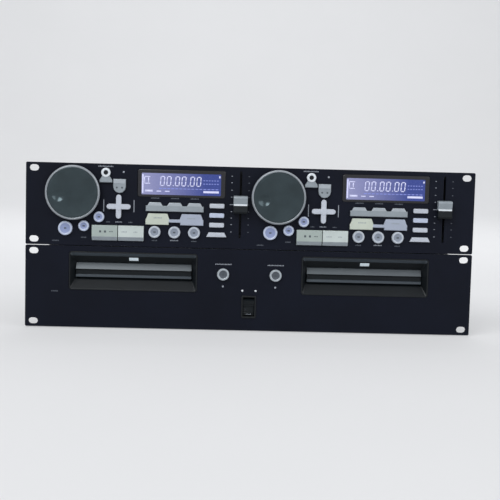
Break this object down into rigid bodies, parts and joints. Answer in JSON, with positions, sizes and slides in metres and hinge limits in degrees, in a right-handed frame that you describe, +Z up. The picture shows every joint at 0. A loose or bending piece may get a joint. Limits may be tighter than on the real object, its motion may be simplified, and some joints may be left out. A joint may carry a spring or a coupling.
{
  "type": "dual disc player",
  "caption": "Rack-mount disc player for disc jockeys: a control unit with jog wheels, pitch faders and keys above a transport with sliding disc trays.",
  "frame": {"origin": "under the middle of the whole part, on the surface it stands on", "axes": "+X along the panels to the right as seen from the front, +Y towards the back, +Z up"},
  "size_m": [0.4826, 0.2612, 0.178],
  "materials": {
    "panel_paint": "fine satin blue-black paint",
    "black_steel": "matt black powder coat",
    "zinc_steel": "zinc-plated sheet",
    "circuit_board": "green circuit board with parts",
    "black_plastic": "moulded black plastic, fine grain",
    "tray_plastic": "moulded black plastic",
    "silver_front": "silver-grey moulded plastic",
    "nylon": "natural nylon",
    "spindle_metal": "turned metal with a rubber face",
    "jog_plastic": "black dish with a bright rim",
    "fader_silver": "grey cap with a white line",
    "violet_key": "translucent lavender plastic",
    "grey_key": "light grey plastic",
    "white_key": "white plastic",
    "pale_green_key": "greenish white plastic",
    "display_window": "dark window with a blue lit field"
  },
  "bodies": {
    "root": {"controller_panel": "panel_paint", "transport_panel": "panel_paint", "controller_case": "black_steel", "controller_board": "circuit_board", "chassis_base": "zinc_steel", "chassis_cover": "black_steel", "main_board": "circuit_board", "power_supply": "circuit_board", "power_switch_body": "black_plastic", "display_left": "display_window", "tray_surround_left": "black_plastic", "drive_frame_left": "black_plastic", "display_right": "display_window", "tray_surround_right": "black_plastic", "drive_frame_right": "black_plastic"},
    "tray_left": {"disc_tray_left": "tray_plastic", "tray_front_left": "silver_front"},
    "tray_right": {"disc_tray_right": "tray_plastic", "tray_front_right": "silver_front"},
    "jog_left": {"jog_wheel_left": "jog_plastic"},
    "jog_right": {"jog_wheel_right": "jog_plastic"},
    "fader_left": {"pitch_fader_left": "fader_silver"},
    "fader_right": {"pitch_fader_right": "fader_silver"},
    "rocker": {"power_rocker": "black_plastic"},
    "eject_left": {"eject_key_left": "silver_front"},
    "eject_right": {"eject_key_right": "silver_front"},
    "search_pad_left": {"search_pad_left": "white_key"},
    "search_pad_right": {"search_pad_right": "white_key"},
    "play_key_left": {"play_key_left": "white_key"},
    "cue_key_left": {"cue_key_left": "pale_green_key"},
    "play_key_right": {"play_key_right": "white_key"},
    "cue_key_right": {"cue_key_right": "pale_green_key"},
    "sled_left": {"laser_sled_left": "black_plastic"},
    "spindle_left": {"spindle_left": "spindle_metal"},
    "loading_gear_left": {"loading_gear_left": "nylon"},
    "sled_right": {"laser_sled_right": "black_plastic"},
    "spindle_right": {"spindle_right": "spindle_metal"},
    "loading_gear_right": {"loading_gear_right": "nylon"},
    "scratch_key_left": {"scratch_key_left": "violet_key"},
    "brake_key_left": {"brake_key_left": "violet_key"},
    "reverse_key_left": {"reverse_key_left": "violet_key"},
    "flash_key_1_left": {"flash_key_1_left": "violet_key"},
    "flash_key_2_left": {"flash_key_2_left": "violet_key"},
    "flash_key_3_left": {"flash_key_3_left": "violet_key"},
    "mode_key_left": {"mode_key_left": "grey_key"},
    "shift_key_left": {"shift_key_left": "grey_key"},
    "cue_point_strip_left": {"cue_point_strip_left": "grey_key"},
    "loop_strip_left": {"loop_strip_left": "pale_green_key"},
    "side_key_bank_left": {"side_key_bank_left": "white_key"},
    "scratch_key_right": {"scratch_key_right": "violet_key"},
    "brake_key_right": {"brake_key_right": "violet_key"},
    "reverse_key_right": {"reverse_key_right": "violet_key"},
    "flash_key_1_right": {"flash_key_1_right": "violet_key"},
    "flash_key_2_right": {"flash_key_2_right": "violet_key"},
    "flash_key_3_right": {"flash_key_3_right": "violet_key"},
    "mode_key_right": {"mode_key_right": "grey_key"},
    "shift_key_right": {"shift_key_right": "grey_key"},
    "cue_point_strip_right": {"cue_point_strip_right": "grey_key"},
    "loop_strip_right": {"loop_strip_right": "pale_green_key"},
    "side_key_bank_right": {"side_key_bank_right": "white_key"}
  },
  "joints": [
    {"name": "tray_left_slide", "type": "slide", "parent": "root", "child": "tray_left", "axis": [0, -1, 0], "range_m": [0, 0.13]},
    {"name": "tray_right_slide", "type": "slide", "parent": "root", "child": "tray_right", "axis": [0, -1, 0], "range_m": [0, 0.13]},
    {"name": "jog_left_turn", "type": "hinge", "parent": "root", "child": "jog_left", "pos_m": [-0.1907, -0.12165, 0.14659], "axis": [0, 1, 0], "continuous": true},
    {"name": "jog_right_turn", "type": "hinge", "parent": "root", "child": "jog_right", "pos_m": [0.0293, -0.12165, 0.14659], "axis": [0, 1, 0], "continuous": true},
    {"name": "fader_left_slide", "type": "slide", "parent": "root", "child": "fader_left", "axis": [0, 0, 1], "range_m": [-0.03, 0.03]},
    {"name": "fader_right_slide", "type": "slide", "parent": "root", "child": "fader_right", "axis": [0, 0, 1], "range_m": [-0.03, 0.03]},
    {"name": "rocker_tilt", "type": "hinge", "parent": "root", "child": "rocker", "pos_m": [0, -0.11665, 0.02699], "axis": [-1, 0, 0], "range_deg": [0, 20]},
    {"name": "eject_left_press", "type": "slide", "parent": "root", "child": "eject_left", "axis": [0, 1, 0], "range_m": [0, 0.0012], "stiffness_N_per_m": 400},
    {"name": "eject_right_press", "type": "slide", "parent": "root", "child": "eject_right", "axis": [0, 1, 0], "range_m": [0, 0.0012], "stiffness_N_per_m": 400},
    {"name": "search_pad_left_tilt", "type": "hinge", "parent": "root", "child": "search_pad_left", "pos_m": [-0.1419, -0.12015, 0.1325], "axis": [0, 0, 1], "range_deg": [-4, 4], "stiffness_Nm_per_rad": 0.05},
    {"name": "search_pad_right_tilt", "type": "hinge", "parent": "root", "child": "search_pad_right", "pos_m": [0.0781, -0.12015, 0.1325], "axis": [0, 0, 1], "range_deg": [-4, 4], "stiffness_Nm_per_rad": 0.05},
    {"name": "play_key_left_press", "type": "slide", "parent": "root", "child": "play_key_left", "axis": [0, 1, 0], "range_m": [0, 0.0012], "stiffness_N_per_m": 400},
    {"name": "cue_key_left_press", "type": "slide", "parent": "root", "child": "cue_key_left", "axis": [0, 1, 0], "range_m": [0, 0.0012], "stiffness_N_per_m": 400},
    {"name": "play_key_right_press", "type": "slide", "parent": "root", "child": "play_key_right", "axis": [0, 1, 0], "range_m": [0, 0.0012], "stiffness_N_per_m": 400},
    {"name": "cue_key_right_press", "type": "slide", "parent": "root", "child": "cue_key_right", "axis": [0, 1, 0], "range_m": [0, 0.0012], "stiffness_N_per_m": 400},
    {"name": "sled_left_slide", "type": "slide", "parent": "root", "child": "sled_left", "axis": [0, 1, 0], "range_m": [0, 0.035]},
    {"name": "spindle_left_spin", "type": "hinge", "parent": "root", "child": "spindle_left", "pos_m": [-0.12548, -0.04415, 0.06232], "axis": [0, 0, 1], "continuous": true},
    {"name": "loading_gear_left_turn", "type": "hinge", "parent": "root", "child": "loading_gear_left", "pos_m": [-0.16848, -0.09465, 0.06232], "axis": [0, 0, 1], "range_deg": [0, 680]},
    {"name": "sled_right_slide", "type": "slide", "parent": "root", "child": "sled_right", "axis": [0, 1, 0], "range_m": [0, 0.035]},
    {"name": "spindle_right_spin", "type": "hinge", "parent": "root", "child": "spindle_right", "pos_m": [0.12548, -0.04415, 0.06232], "axis": [0, 0, 1], "continuous": true},
    {"name": "loading_gear_right_turn", "type": "hinge", "parent": "root", "child": "loading_gear_right", "pos_m": [0.08248, -0.09465, 0.06232], "axis": [0, 0, 1], "range_deg": [0, 680]},
    {"name": "scratch_key_left_press", "type": "slide", "parent": "root", "child": "scratch_key_left", "axis": [0, 1, 0], "range_m": [0, 0.0012], "stiffness_N_per_m": 400},
    {"name": "brake_key_left_press", "type": "slide", "parent": "root", "child": "brake_key_left", "axis": [0, 1, 0], "range_m": [0, 0.0012], "stiffness_N_per_m": 400},
    {"name": "reverse_key_left_press", "type": "slide", "parent": "root", "child": "reverse_key_left", "axis": [0, 1, 0], "range_m": [0, 0.0012], "stiffness_N_per_m": 400},
    {"name": "flash_key_1_left_press", "type": "slide", "parent": "root", "child": "flash_key_1_left", "axis": [0, 1, 0], "range_m": [0, 0.0012], "stiffness_N_per_m": 400},
    {"name": "flash_key_2_left_press", "type": "slide", "parent": "root", "child": "flash_key_2_left", "axis": [0, 1, 0], "range_m": [0, 0.0012], "stiffness_N_per_m": 400},
    {"name": "flash_key_3_left_press", "type": "slide", "parent": "root", "child": "flash_key_3_left", "axis": [0, 1, 0], "range_m": [0, 0.0012], "stiffness_N_per_m": 400},
    {"name": "mode_key_left_press", "type": "slide", "parent": "root", "child": "mode_key_left", "axis": [0, 1, 0], "range_m": [0, 0.0012], "stiffness_N_per_m": 400},
    {"name": "shift_key_left_press", "type": "slide", "parent": "root", "child": "shift_key_left", "axis": [0, 1, 0], "range_m": [0, 0.0012], "stiffness_N_per_m": 400},
    {"name": "cue_point_strip_left_press", "type": "slide", "parent": "root", "child": "cue_point_strip_left", "axis": [0, 1, 0], "range_m": [0, 0.0012], "stiffness_N_per_m": 400},
    {"name": "loop_strip_left_press", "type": "slide", "parent": "root", "child": "loop_strip_left", "axis": [0, 1, 0], "range_m": [0, 0.0012], "stiffness_N_per_m": 400},
    {"name": "side_key_bank_left_press", "type": "slide", "parent": "root", "child": "side_key_bank_left", "axis": [0, 1, 0], "range_m": [0, 0.0012], "stiffness_N_per_m": 400},
    {"name": "scratch_key_right_press", "type": "slide", "parent": "root", "child": "scratch_key_right", "axis": [0, 1, 0], "range_m": [0, 0.0012], "stiffness_N_per_m": 400},
    {"name": "brake_key_right_press", "type": "slide", "parent": "root", "child": "brake_key_right", "axis": [0, 1, 0], "range_m": [0, 0.0012], "stiffness_N_per_m": 400},
    {"name": "reverse_key_right_press", "type": "slide", "parent": "root", "child": "reverse_key_right", "axis": [0, 1, 0], "range_m": [0, 0.0012], "stiffness_N_per_m": 400},
    {"name": "flash_key_1_right_press", "type": "slide", "parent": "root", "child": "flash_key_1_right", "axis": [0, 1, 0], "range_m": [0, 0.0012], "stiffness_N_per_m": 400},
    {"name": "flash_key_2_right_press", "type": "slide", "parent": "root", "child": "flash_key_2_right", "axis": [0, 1, 0], "range_m": [0, 0.0012], "stiffness_N_per_m": 400},
    {"name": "flash_key_3_right_press", "type": "slide", "parent": "root", "child": "flash_key_3_right", "axis": [0, 1, 0], "range_m": [0, 0.0012], "stiffness_N_per_m": 400},
    {"name": "mode_key_right_press", "type": "slide", "parent": "root", "child": "mode_key_right", "axis": [0, 1, 0], "range_m": [0, 0.0012], "stiffness_N_per_m": 400},
    {"name": "shift_key_right_press", "type": "slide", "parent": "root", "child": "shift_key_right", "axis": [0, 1, 0], "range_m": [0, 0.0012], "stiffness_N_per_m": 400},
    {"name": "cue_point_strip_right_press", "type": "slide", "parent": "root", "child": "cue_point_strip_right", "axis": [0, 1, 0], "range_m": [0, 0.0012], "stiffness_N_per_m": 400},
    {"name": "loop_strip_right_press", "type": "slide", "parent": "root", "child": "loop_strip_right", "axis": [0, 1, 0], "range_m": [0, 0.0012], "stiffness_N_per_m": 400},
    {"name": "side_key_bank_right_press", "type": "slide", "parent": "root", "child": "side_key_bank_right", "axis": [0, 1, 0], "range_m": [0, 0.0012], "stiffness_N_per_m": 400}
  ],
  "couplings": [
    {"joint": "loading_gear_left_turn", "follows": "tray_left_slide", "rad_per_m": 90.909},
    {"joint": "loading_gear_right_turn", "follows": "tray_right_slide", "rad_per_m": 90.909}
  ]
}
